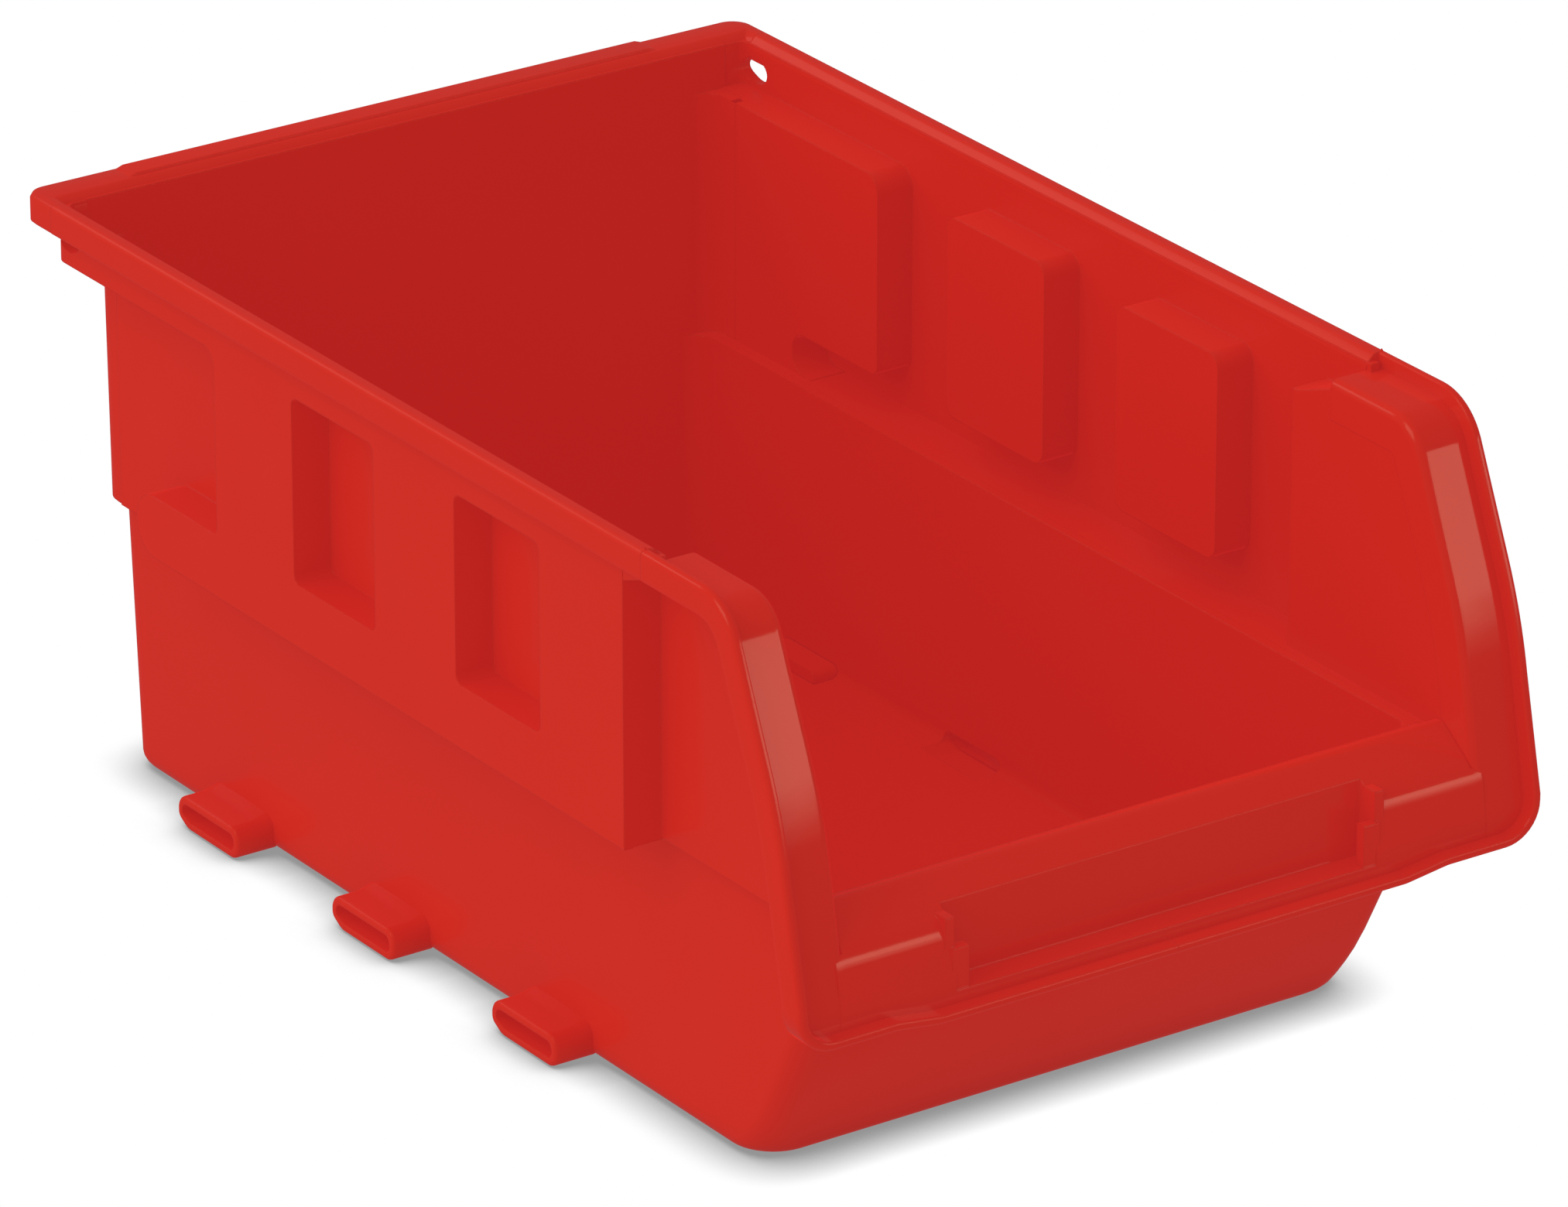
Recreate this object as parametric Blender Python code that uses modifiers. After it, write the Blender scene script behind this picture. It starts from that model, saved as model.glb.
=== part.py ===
"""Stackable open-front storage bin, one injection moulding in red plastic.

The bin is modelled as the regions that its mould forms: floor, lower walls, stepped upper walls with
their recesses, rim, front flanges, label panel and side lugs. Every region is a closed body of its own,
with a 0.3 mm line between neighbours. Origin: middle of the footprint, on the surface that it stands on.
-Y is the open front, +Z is up.
"""
import math

import bmesh
import bpy
from mathutils import Matrix, Vector

MM = 0.001

# Driving dimensions, in millimetres.
LENGTH = 166.0            # rear rim to front lip
WIDTH = 105.0             # over the rim
HEIGHT = 76.2             # underside to rim
WALL = 1.3                # wall thickness
GAP = 0.3                 # line between neighbouring regions
FLOOR_TOP = 1.8           # upper face of the floor
BASE_HALF_WIDTH = 42.7    # outer face of the lower side walls, at the floor
BASE_REAR = 77.0          # outer face of the rear wall, at the floor
BASE_FRONT = -60.6        # outer face of the front wall, at the floor
CORNER = 4.0              # outer radius of the upright corners
DRAFT = math.radians(1.3)  # lean of every wall

LEDGE = 36.5              # height of the step between lower and upper side wall
INNER_FACE = 45.7         # outer face of the recessed level of the upper side wall
OUTER_FACE = 50.9         # outer face of the raised level of the upper side wall
LEDGE_INNER = 42.2        # inner edge of the level strip between lower and upper side wall
FRONT_SLOPE = 0.504       # how far the lower front wall falls forward per unit of height
WALL_TOP = 74.6           # upper edge of the walls, just under the rim
HEAD_REAR = 78.7          # rear face of the wide head of the wall, under the rear rim
HEAD_INNER = 46.6         # where that head passes the rear wall
REAR_JOIN = 72.8          # rear end of the recessed level of the side wall
SHELF = 71.7              # underside of the shelf between cheek and rim
RECESS_BOTTOM = 44.6      # lower edge of recess and pockets
RECESS_TOP = 68.5         # upper edge of recess and pockets
RECESS_FRONT = 42.0       # front edge of the rear recess
TONGUE_REAR = 60.5        # rear end of the rounded tongue under the recess
POCKET_LENGTH = 17.8
POCKET_REAR_EDGES = (24.7, -10.4)
BAND_FRONT = -45.4        # front end of the raised level

RIM_PLATE = 1.3           # thickness of the rim's flat top
RIM_DROP = 3.8            # height of the rim's turned-down lip
RIM_LIP = 1.2             # thickness of that lip
RIM_REAR_RISE = 0.35      # raised middle of the rear rim
RIM_JOIN = 76.6           # where the side rims meet the rear rim

BOW_START = -51.4         # where the rim turns into the front flange
BOW_INNER = 44.4          # inner edge of the front flange
LIP_RAISE = 1.3           # how far the lip stands in front of the flange
LIP_BOTTOM = 24.4         # lower edge of front flange and label panel
LIP_CORNER = 5.0          # radius of the lower outer corner of the flange

PANEL_REAR = -71.4        # inner face of the label panel, at its foot
LABEL_HALF_WIDTH = 29.7
LABEL_BOTTOM = 27.2
LABEL_BACK = -77.6
RIB_INNER = 27.9
RIB_TOP = 32.4

LUG_CENTRES = (50.6, 15.6, -19.4)
LUG_LENGTH = 13.8
LUG_HEIGHT = 4.2
LUG_OUTER = 48.0
LUG_SHELL = 1.0

HOLE_Y = 75.4
HOLE_Z = 72.0
HOLE_RADIUS = 1.7

FAR = 20.0                # how far a cutter runs past the piece it cuts


def clear_scene():
    for obj in list(bpy.data.objects):
        bpy.data.objects.remove(obj, do_unlink=True)


def make_collection(name):
    collection = bpy.data.collections.new(name)
    bpy.context.scene.collection.children.link(collection)
    return collection


def make_material(name, colour, roughness):
    material = bpy.data.materials.new(name)
    material.use_nodes = True
    shader = material.node_tree.nodes["Principled BSDF"]
    shader.inputs["Base Color"].default_value = (*colour, 1.0)
    shader.inputs["Roughness"].default_value = roughness
    shader.inputs["Metallic"].default_value = 0.0
    return material


def corner_points(before, corner, after, radius, steps):
    """Points of the arc that rounds one corner of an outline."""
    into = (Vector(before) - Vector(corner)).normalized()
    out = (Vector(after) - Vector(corner)).normalized()
    half = into.angle(out) / 2
    reach = radius / math.tan(half)
    centre = Vector(corner) + (into + out).normalized() * (radius / math.sin(half))
    start = Vector(corner) + into * reach - centre
    sweep = start.angle_signed(Vector(corner) + out * reach - centre)
    turns = [sweep * k / steps for k in range(steps + 1)]
    return [centre + Matrix.Rotation(-turn, 2) @ start for turn in turns]


def rounded(corners, closed=True):
    """Outline through (u, v) or (u, v, radius) corners, with round stretches as arcs."""
    points = []
    count = len(corners)
    for i, corner in enumerate(corners):
        radius = corner[2] if len(corner) > 2 else 0.0
        inside = closed or 0 < i < count - 1
        if radius and inside:
            before = corners[i - 1][:2]
            after = corners[(i + 1) % count][:2]
            points += corner_points(before, corner[:2], after, radius, 6)
        else:
            points.append(Vector(corner[:2]))
    return points


def offset_path(points, distance):
    """The same open path, moved sideways to its left by a distance."""
    moved = []
    for i, point in enumerate(points):
        back = points[max(i - 1, 0)]
        ahead = points[min(i + 1, len(points) - 1)]
        first = (point - back).normalized() if i else (ahead - point).normalized()
        last = (ahead - point).normalized() if i < len(points) - 1 else first
        middle = (first + last).normalized()
        side = Vector((-middle.y, middle.x))
        moved.append(point + side * distance / max(middle.dot(first), 0.5))
    return moved


def ribbon(points, thickness):
    """Closed outline of a strip of even thickness along an open path."""
    return list(points) + list(reversed(offset_path(points, thickness)))


AXES = {
    "x": Matrix(((0, 0, 1), (1, 0, 0), (0, 1, 0))),
    "y": Matrix(((1, 0, 0), (0, 0, 1), (0, 1, 0))),
    "z": Matrix.Identity(3),
}


def plate(name, outline, axis, low, high):
    """Flat outline as a filled 2D curve, given thickness from low to high along an axis."""
    curve = bpy.data.curves.new(name, "CURVE")
    curve.dimensions = "2D"
    curve.fill_mode = "BOTH"
    curve.extrude = (high - low) / 2 * MM
    spline = curve.splines.new("POLY")
    spline.points.add(len(outline) - 1)
    for point, place in zip(spline.points, outline):
        point.co = (place[0] * MM, place[1] * MM, 0.0, 1.0)
    spline.use_cyclic_u = True
    holder = bpy.data.objects.new(name, curve)
    bpy.context.scene.collection.objects.link(holder)
    bpy.context.view_layer.update()
    graph = bpy.context.evaluated_depsgraph_get()
    mesh = bpy.data.meshes.new_from_object(holder.evaluated_get(graph))
    bpy.data.objects.remove(holder, do_unlink=True)
    mesh.transform(Matrix.Translation((0, 0, (low + high) / 2 * MM)))
    mesh.transform(AXES[axis].to_4x4())
    tidy_mesh(mesh)
    return make_object(name, mesh)


def tidy_mesh(mesh):
    shape = bmesh.new()
    shape.from_mesh(mesh)
    bmesh.ops.remove_doubles(shape, verts=shape.verts, dist=1e-6)
    bmesh.ops.recalc_face_normals(shape, faces=shape.faces)
    shape.to_mesh(mesh)
    shape.free()


def make_object(name, mesh):
    obj = bpy.data.objects.new(name, mesh)
    bpy.context.scene.collection.objects.link(obj)
    return obj


def box(name, x_range, y_range, z_range):
    outline = [(x_range[0], y_range[0]), (x_range[1], y_range[0]), (x_range[1], y_range[1]),
               (x_range[0], y_range[1])]
    return plate(name, outline, "z", *z_range)


def combine(obj, tool, operation):
    """Boolean with a helper object, applied at once so that the helper can go."""
    modifier = obj.modifiers.new("combine", "BOOLEAN")
    modifier.operation = operation
    modifier.solver = "EXACT"
    modifier.object = tool
    bpy.context.view_layer.update()
    graph = bpy.context.evaluated_depsgraph_get()
    mesh = bpy.data.meshes.new_from_object(obj.evaluated_get(graph))
    obj.modifiers.clear()
    obj.data = mesh
    bpy.data.objects.remove(tool, do_unlink=True)
    return obj


def lean(obj, angle, foot, run_axis):
    """Leans a wall outward from its foot: x or y grows with the height above the foot."""
    for vertex in obj.data.vertices:
        rise = vertex.co.z - foot * MM
        vertex.co[run_axis] += math.tan(angle) * rise


def splay(obj, half_width, foot):
    """Draft of a wall that turns both corners: its x grows with height, on each side."""
    grow = math.tan(DRAFT) / (half_width * MM)
    for vertex in obj.data.vertices:
        vertex.co.x *= 1 + grow * (vertex.co.z - foot * MM)


def finish(obj, collection, material):
    """Moves the finished piece to its collection and gives it its material."""
    bpy.context.scene.collection.objects.unlink(obj)
    collection.objects.link(obj)
    obj.data.materials.clear()
    obj.data.materials.append(material)
    obj.data.shade_smooth()
    obj.data.set_sharp_from_angle(angle=math.radians(30))
    return obj


def mirrored(obj, name):
    """The same piece on the other side of the bin."""
    mesh = obj.data.copy()
    mesh.transform(Matrix.Scale(-1, 4, (1, 0, 0)))
    mesh.flip_normals()
    return make_object(name, mesh)


def mirrored_pair(stem, build, collection, material):
    right = build(stem + "_right")
    left = mirrored(right, stem + "_left")
    finish(right, collection, material)
    finish(left, collection, material)


def lip_profile():
    """Side view of the outer lip: level rim, shoulder and the long falling front edge."""
    corners = [(BOW_START, HEIGHT), (-68.0, HEIGHT, 8.0), (-78.6, 52.0, 60.0),
               (-LENGTH / 2, 29.0, 8.0), (-LENGTH / 2, LIP_BOTTOM)]
    return rounded(corners, closed=False)


def floor_pan():
    radius = CORNER + 1.0
    half = BASE_HALF_WIDTH
    outline = rounded([(-half, BASE_FRONT, radius), (half, BASE_FRONT, radius),
                       (half, BASE_REAR, radius), (-half, BASE_REAR, radius)])
    obj = plate("floor_pan", outline, "z", 0.0, FLOOR_TOP)
    foot = obj.modifiers.new("rounded foot", "BEVEL")
    foot.width = 0.9 * MM
    foot.segments = 3
    foot.limit_method = "ANGLE"
    foot.angle_limit = math.radians(60)
    return obj


def corner_wall(name, edge, foot, top, half, direction):
    """Wall that turns both upright corners, as a strip in plan view; edge is its outer face."""
    back = edge - direction * (CORNER + 0.5)
    path = rounded([(half, back), (half, edge, CORNER), (-half, edge, CORNER), (-half, back)],
                   closed=False)
    outline = ribbon(path, WALL * direction)
    return plate(name, outline, "z", foot, top)


def wall_lower_rear():
    foot = FLOOR_TOP + GAP
    obj = corner_wall("wall_lower_rear", BASE_REAR, foot, LEDGE - GAP, BASE_HALF_WIDTH, 1)
    splay(obj, BASE_HALF_WIDTH, foot)
    lean(obj, DRAFT, foot, 1)
    return obj


def wall_lower_front():
    foot = FLOOR_TOP + GAP
    obj = corner_wall("wall_lower_front", BASE_FRONT, foot, LIP_BOTTOM - GAP, BASE_HALF_WIDTH, -1)
    splay(obj, BASE_HALF_WIDTH, foot)
    lean(obj, -math.atan(FRONT_SLOPE), foot, 1)
    return obj


def wall_upper_rear():
    foot = LEDGE
    half = INNER_FACE - 0.3
    edge = BASE_REAR + math.tan(DRAFT) * LEDGE
    obj = corner_wall("wall_upper_rear", edge, foot, WALL_TOP, half, 1)
    splay(obj, half, foot)
    lean(obj, DRAFT, foot, 1)
    for side in (-1, 1):
        across = sorted((side * LEDGE_INNER, side * (half - 0.6)))
        combine(obj, box("foot", across, (REAR_JOIN + GAP, edge - 1.0), (LEDGE, LEDGE + WALL)), "UNION")
    return obj


def lug_outline(centre, shrink=0.0):
    half_length = LUG_LENGTH / 2 - shrink
    half_height = LUG_HEIGHT / 2 - shrink
    middle = LUG_HEIGHT / 2 + 0.1
    radius = 1.8 - shrink * 0.8
    return rounded([(centre - half_length, middle - half_height, radius),
                    (centre + half_length, middle - half_height, radius),
                    (centre + half_length, middle + half_height, radius),
                    (centre - half_length, middle + half_height, radius)])


def wall_lower_side(name):
    foot = FLOOR_TOP + GAP
    turn = CORNER + 0.5 + GAP
    rear_foot = BASE_REAR - turn
    rear_top = rear_foot + math.tan(DRAFT) * (LEDGE - foot)
    front_foot = BASE_FRONT + turn
    above_front = front_foot - FRONT_SLOPE * (LIP_BOTTOM - foot)
    outline = [(front_foot, foot), (rear_foot, foot), (rear_top, LEDGE - GAP),
               (PANEL_REAR + GAP, LEDGE - GAP), (PANEL_REAR + GAP, LIP_BOTTOM), (above_front, LIP_BOTTOM)]
    obj = plate(name, outline, "x", BASE_HALF_WIDTH - WALL, BASE_HALF_WIDTH)
    for centre in LUG_CENTRES:
        slot = plate("slot", lug_outline(centre, LUG_SHELL), "x", BASE_HALF_WIDTH - 5, BASE_HALF_WIDTH + 5)
        combine(obj, slot, "DIFFERENCE")
    lean(obj, DRAFT, foot, 0)
    return obj


def raised_outline():
    """Side view of the raised level: band, tongue and the strip above the rear recess."""
    return rounded([(BAND_FRONT, LEDGE), (TONGUE_REAR, LEDGE, 3.8), (TONGUE_REAR, RECESS_BOTTOM, 3.8),
                    (RECESS_FRONT, RECESS_BOTTOM, 1.0), (RECESS_FRONT, RECESS_TOP, 2.2),
                    (REAR_JOIN, RECESS_TOP), (REAR_JOIN, WALL_TOP), (BAND_FRONT, WALL_TOP)])


def recess_cutter():
    outline = rounded([(RECESS_FRONT, RECESS_BOTTOM, 1.0), (TONGUE_REAR, RECESS_BOTTOM, 3.8),
                       (TONGUE_REAR, LEDGE, 3.8), (TONGUE_REAR - 6, LEDGE), (TONGUE_REAR - 6, LEDGE - FAR),
                       (BASE_REAR + FAR, LEDGE - FAR), (BASE_REAR + FAR, RECESS_TOP),
                       (RECESS_FRONT, RECESS_TOP, 2.2)])
    return plate("recess", outline, "x", INNER_FACE, OUTER_FACE + FAR)


def recess_back():
    """Block behind the rear recess, which its cutter hollows from outside."""
    front = RECESS_FRONT - WALL
    rear = REAR_JOIN
    low = RECESS_BOTTOM - WALL
    behind = TONGUE_REAR - WALL
    outline = rounded([(front, low), (behind, low, 2.4), (behind, LEDGE + 1.4, 2.4), (behind - 4, LEDGE + 1.4),
                       (behind - 4, LEDGE), (rear, LEDGE), (rear, RECESS_TOP + WALL),
                       (front, RECESS_TOP + WALL)])
    return plate("recess_back", outline, "x", INNER_FACE - WALL, OUTER_FACE - WALL + 0.2)


def pocket_outline(rear_edge, grow):
    front_edge = rear_edge - POCKET_LENGTH
    low = RECESS_BOTTOM - grow
    high = RECESS_TOP + grow
    return rounded([(front_edge - grow, low, 1.2), (rear_edge + grow, low, 1.2),
                    (rear_edge + grow, high, 1.2), (front_edge - grow, high, 1.2)])


def wall_head():
    """Wide head of the side wall above the rear recess; it turns the corner under the rear rim."""
    start = REAR_JOIN - 8.0
    outline = rounded([(HEAD_INNER, start), (OUTER_FACE, start), (OUTER_FACE, HEAD_REAR, 2.6),
                       (HEAD_INNER, HEAD_REAR)])
    obj = plate("head", outline, "z", RECESS_TOP, WALL_TOP)
    hollow = rounded([(HEAD_INNER - FAR, start - FAR), (OUTER_FACE - WALL, start - FAR),
                      (OUTER_FACE - WALL, HEAD_REAR - WALL, 1.3), (HEAD_INNER - FAR, HEAD_REAR - WALL)])
    combine(obj, plate("hollow", hollow, "z", RECESS_TOP + WALL, HEIGHT + FAR), "DIFFERENCE")
    return obj


def hang_hole():
    """Round hole through the head of the side wall."""
    bpy.ops.mesh.primitive_cylinder_add(vertices=20, radius=HOLE_RADIUS * MM, depth=FAR * MM,
                                        location=(OUTER_FACE * MM, HOLE_Y * MM, HOLE_Z * MM),
                                        rotation=(0, math.pi / 2, 0))
    return bpy.context.object


def wall_upper_side(name):
    obj = plate(name, raised_outline(), "x", OUTER_FACE - WALL, OUTER_FACE)
    combine(obj, recess_back(), "UNION")
    combine(obj, box("ledge", (LEDGE_INNER, OUTER_FACE - 0.4), (BAND_FRONT + 0.2, REAR_JOIN),
                     (LEDGE, LEDGE + WALL)), "UNION")
    combine(obj, wall_head(), "UNION")
    for rear_edge in POCKET_REAR_EDGES:
        back = plate("back", pocket_outline(rear_edge, WALL), "x", INNER_FACE - WALL, OUTER_FACE - WALL + 0.2)
        combine(obj, back, "UNION")
    front_return = box("front_return", (INNER_FACE - WALL, OUTER_FACE - 0.4), (BAND_FRONT, BAND_FRONT + WALL),
                       (LEDGE, WALL_TOP))
    combine(obj, front_return, "UNION")
    combine(obj, recess_cutter(), "DIFFERENCE")
    for rear_edge in POCKET_REAR_EDGES:
        pocket = plate("pocket", pocket_outline(rear_edge, 0.0), "x", INNER_FACE, OUTER_FACE + FAR)
        combine(obj, pocket, "DIFFERENCE")
    combine(obj, hang_hole(), "DIFFERENCE")
    return obj


def cheek(name):
    """Front stretch of the upper side wall, at the recessed level, behind the flange."""
    edge = offset_path(lip_profile(), LIP_RAISE + RIM_PLATE + GAP)
    inner_edge = [p for p in edge if p.y > LEDGE + 1 and p.x < BAND_FRONT - 6]
    outline = [(BAND_FRONT - GAP, LEDGE), (BAND_FRONT - GAP, WALL_TOP - LIP_RAISE)]
    outline += [tuple(p) for p in inner_edge]
    outline.append((inner_edge[-1].x - 0.8, LEDGE))
    obj = plate(name, outline, "x", INNER_FACE - WALL, INNER_FACE)
    rear = BAND_FRONT - GAP
    combine(obj, box("ledge", (LEDGE_INNER, INNER_FACE - 0.4), (PANEL_REAR + GAP, rear - 0.2),
                     (LEDGE, LEDGE + WALL)), "UNION")
    combine(obj, box("shelf", (INNER_FACE - 0.4, OUTER_FACE), (BOW_START - 1.1, rear), (SHELF, SHELF + WALL)),
            "UNION")
    combine(obj, box("upright", (OUTER_FACE - WALL, OUTER_FACE - 0.1), (BOW_START + GAP, rear - 0.1),
                     (SHELF + 0.5, WALL_TOP)), "UNION")
    return obj


def bow(name):
    """Front flange: a curved face, the lip round its outer edge, and the rounded lower corner."""
    path = lip_profile()
    face = ribbon(offset_path(path, LIP_RAISE), RIM_PLATE)
    obj = plate(name, [tuple(p) for p in face], "x", BOW_INNER, WIDTH / 2 - 0.2)
    lip = plate("lip", [tuple(p) for p in ribbon(path, RIM_DROP)], "x", WIDTH / 2 - RIM_LIP, WIDTH / 2)
    combine(obj, lip, "UNION")
    hem = box("hem", (BOW_INNER, WIDTH / 2 - 0.3), (-LENGTH / 2, -LENGTH / 2 + 2.4),
              (LIP_BOTTOM, LIP_BOTTOM + 1.3))
    combine(obj, hem, "UNION")
    front_view = rounded([(BOW_INNER - 1, LIP_BOTTOM), (WIDTH / 2, LIP_BOTTOM, LIP_CORNER),
                          (WIDTH / 2, HEIGHT + 2), (BOW_INNER - 1, HEIGHT + 2)])
    keep = plate("keep", front_view, "y", -LENGTH / 2 - FAR, FAR)
    combine(obj, keep, "INTERSECT")
    return obj


def rim_side(name):
    """Side rim: flat top with a turned-down lip outside."""
    under = HEIGHT - RIM_PLATE
    inner = OUTER_FACE - WALL
    lip = WIDTH / 2 - RIM_LIP
    outline = rounded([(inner, under), (lip, under), (lip, HEIGHT - RIM_DROP),
                       (WIDTH / 2, HEIGHT - RIM_DROP), (WIDTH / 2, HEIGHT, 0.7), (inner + 0.9, HEIGHT, 0.5),
                       (inner, HEIGHT - 0.9)])
    return plate(name, outline, "y", BOW_START + GAP, RIM_JOIN - GAP)


def rim_rear():
    """Rear rim: the widest stretch, with both corners and a raised middle."""
    half = WIDTH / 2
    rear = LENGTH / 2
    top = rounded([(-half, RIM_JOIN), (half, RIM_JOIN), (half, rear, 2.5), (-half, rear, 2.5)])
    obj = plate("rim_rear", top, "z", HEIGHT - RIM_DROP, HEIGHT)
    side = half - RIM_LIP
    under = rounded([(-side, RIM_JOIN - FAR), (side, RIM_JOIN - FAR), (side, rear - RIM_LIP, 1.3),
                     (-side, rear - RIM_LIP, 1.3)])
    hollow = plate("hollow", under, "z", HEIGHT - FAR, HEIGHT - RIM_PLATE)
    combine(obj, hollow, "DIFFERENCE")
    raised = box("raised", (-38.7, 38.7), (rear - 4.0, rear - 0.3), (HEIGHT - 0.5, HEIGHT + RIM_REAR_RISE))
    combine(obj, raised, "UNION")
    return obj


def label_panel():
    """Front panel: inner wall, sloping shoulder and front face, with the framed label recess."""
    half = BOW_INNER - GAP
    path = rounded([(PANEL_REAR, LIP_BOTTOM), (-72.2, 40.6, 1.7), (-79.8, 34.9, 2.2),
                    (-81.2, 29.5), (-81.6, LIP_BOTTOM)], closed=False)
    obj = plate("label_panel", [tuple(p) for p in ribbon(path, WALL)], "x", -half, half)
    tray = box("tray", (-LABEL_HALF_WIDTH - WALL, LABEL_HALF_WIDTH + WALL), (-80.6, LABEL_BACK + WALL),
               (LABEL_BOTTOM - WALL, 34.6))
    combine(obj, tray, "UNION")
    hem = box("hem", (-half, half), (-LENGTH / 2, -LENGTH / 2 + 2.4), (LIP_BOTTOM, LIP_BOTTOM + 1.3))
    combine(obj, hem, "UNION")
    recess = box("recess", (-LABEL_HALF_WIDTH, LABEL_HALF_WIDTH), (-LENGTH, LABEL_BACK),
                 (LABEL_BOTTOM, HEIGHT))
    combine(obj, recess, "DIFFERENCE")
    for side in (-1, 1):
        ends = sorted((side * RIB_INNER, side * (LABEL_HALF_WIDTH + 0.5)))
        rib = box("rib", ends, (-81.0, -79.6), (LABEL_BOTTOM - 0.5, RIB_TOP))
        combine(obj, rib, "UNION")
    return obj


def lug(name, centre):
    """Hollow lug low on the side wall; its opening runs through into the bin."""
    root = BASE_HALF_WIDTH + GAP + 0.1
    obj = plate(name, lug_outline(centre), "x", root, LUG_OUTER)
    hollow = plate("hollow", lug_outline(centre, LUG_SHELL), "x", root - FAR, LUG_OUTER + FAR)
    combine(obj, hollow, "DIFFERENCE")
    return obj


def build():
    clear_scene()
    bin_parts = make_collection("storage_bin")
    red = (0.62, 0.024, 0.016)
    body = make_material("body_plastic", red, 0.28)
    rim = make_material("rim_plastic", red, 0.24)
    front = make_material("front_plastic", red, 0.2)

    finish(floor_pan(), bin_parts, body)
    finish(wall_lower_rear(), bin_parts, body)
    finish(wall_lower_front(), bin_parts, body)
    finish(wall_upper_rear(), bin_parts, body)
    mirrored_pair("wall_lower", wall_lower_side, bin_parts, body)
    mirrored_pair("wall_upper", wall_upper_side, bin_parts, body)
    mirrored_pair("cheek", cheek, bin_parts, body)
    mirrored_pair("bow", bow, bin_parts, front)
    mirrored_pair("rim", rim_side, bin_parts, rim)
    finish(rim_rear(), bin_parts, rim)
    finish(label_panel(), bin_parts, front)
    for number, centre in enumerate(LUG_CENTRES, start=1):
        right = lug("lug_%d_right" % number, centre)
        left = mirrored(right, "lug_%d_left" % number)
        finish(right, bin_parts, body)
        finish(left, bin_parts, body)


build()
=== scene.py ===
# %% [markdown]
# # Stackable storage bin: visual model
# The real bin is one moulding in red plastic: a tub with a low open front, made to stand on the next bin.
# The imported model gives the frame, which says how big everything is and where it sits. Each cell below makes
# one region of the moulding in finer shape and lays it over its frame nodes.
# The bin could be one sculpted mesh, but regions stay easy to change, and each can have its own finish.
# Sizes are in millimetres until a mesh is made.

import math

import bmesh
import bpy
from mathutils import Matrix, Vector


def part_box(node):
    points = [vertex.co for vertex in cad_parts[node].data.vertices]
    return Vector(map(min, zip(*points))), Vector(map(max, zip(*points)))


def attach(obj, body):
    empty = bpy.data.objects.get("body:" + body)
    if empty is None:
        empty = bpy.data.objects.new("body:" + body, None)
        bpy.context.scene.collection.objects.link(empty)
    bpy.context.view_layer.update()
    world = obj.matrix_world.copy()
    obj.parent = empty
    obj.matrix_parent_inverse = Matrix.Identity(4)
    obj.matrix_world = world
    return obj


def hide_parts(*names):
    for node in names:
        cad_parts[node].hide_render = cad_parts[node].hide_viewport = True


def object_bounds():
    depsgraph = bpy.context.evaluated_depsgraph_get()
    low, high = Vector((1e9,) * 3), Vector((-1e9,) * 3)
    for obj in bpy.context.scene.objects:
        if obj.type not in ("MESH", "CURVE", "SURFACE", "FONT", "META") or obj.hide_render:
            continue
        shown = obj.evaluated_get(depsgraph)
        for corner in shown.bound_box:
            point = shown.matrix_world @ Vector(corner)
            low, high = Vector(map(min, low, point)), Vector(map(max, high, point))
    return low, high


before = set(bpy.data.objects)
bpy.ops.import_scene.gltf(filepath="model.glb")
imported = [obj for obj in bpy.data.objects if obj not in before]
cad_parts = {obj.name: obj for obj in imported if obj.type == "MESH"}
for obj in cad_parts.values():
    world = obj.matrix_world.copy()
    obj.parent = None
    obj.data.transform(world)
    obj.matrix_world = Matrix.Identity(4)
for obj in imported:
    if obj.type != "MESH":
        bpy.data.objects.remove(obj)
MM = 0.001
cad_low, cad_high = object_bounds()


print("frame nodes:", len(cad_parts))

# %% [markdown]
# The frame's nodes give most places. Their boxes are read once here and get plain names, so that no later
# cell holds a copied number that could drift away from the frame.

# %% Places from the frame
LOW, HIGH = 0, 1
X, Y, Z = 0, 1, 2


def reach(node, end, axis):
    """One face of a node's box, in millimetres."""
    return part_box(node)[end][axis] / MM


HALF_WIDTH = cad_high.x / MM
FRONT = cad_low.y / MM
REAR = cad_high.y / MM
TOP = reach("rim_right", HIGH, Z)
BASE_HALF_WIDTH = reach("floor_pan", HIGH, X)
BASE_FRONT = reach("floor_pan", LOW, Y)
BASE_REAR = reach("floor_pan", HIGH, Y)
FLOOR_TOP = reach("floor_pan", HIGH, Z)
LEDGE = reach("wall_upper_right", LOW, Z)
OUTER_FACE = reach("wall_upper_right", HIGH, X)
BAND_FRONT = reach("wall_upper_right", LOW, Y)
HEAD_REAR = reach("wall_upper_right", HIGH, Y)
BOW_START = reach("bow_right", HIGH, Y)
BOW_INNER = reach("bow_right", LOW, X)
LIP_BOTTOM = reach("bow_right", LOW, Z)
RIM_INNER = reach("rim_right", LOW, X)
RIM_LOW = reach("rim_right", LOW, Z)
PANEL_REAR = reach("label_panel", HIGH, Y)
print("bin: %.1f x %.1f x %.1f mm" % (2 * HALF_WIDTH, REAR - FRONT, cad_high.z / MM))

# %% [markdown]
# A moulding has one wall thickness nearly everywhere, and every wall leans a little so that the part comes
# out of its mould. These few shape sizes are not in any node's box. Several regions share them.

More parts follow.
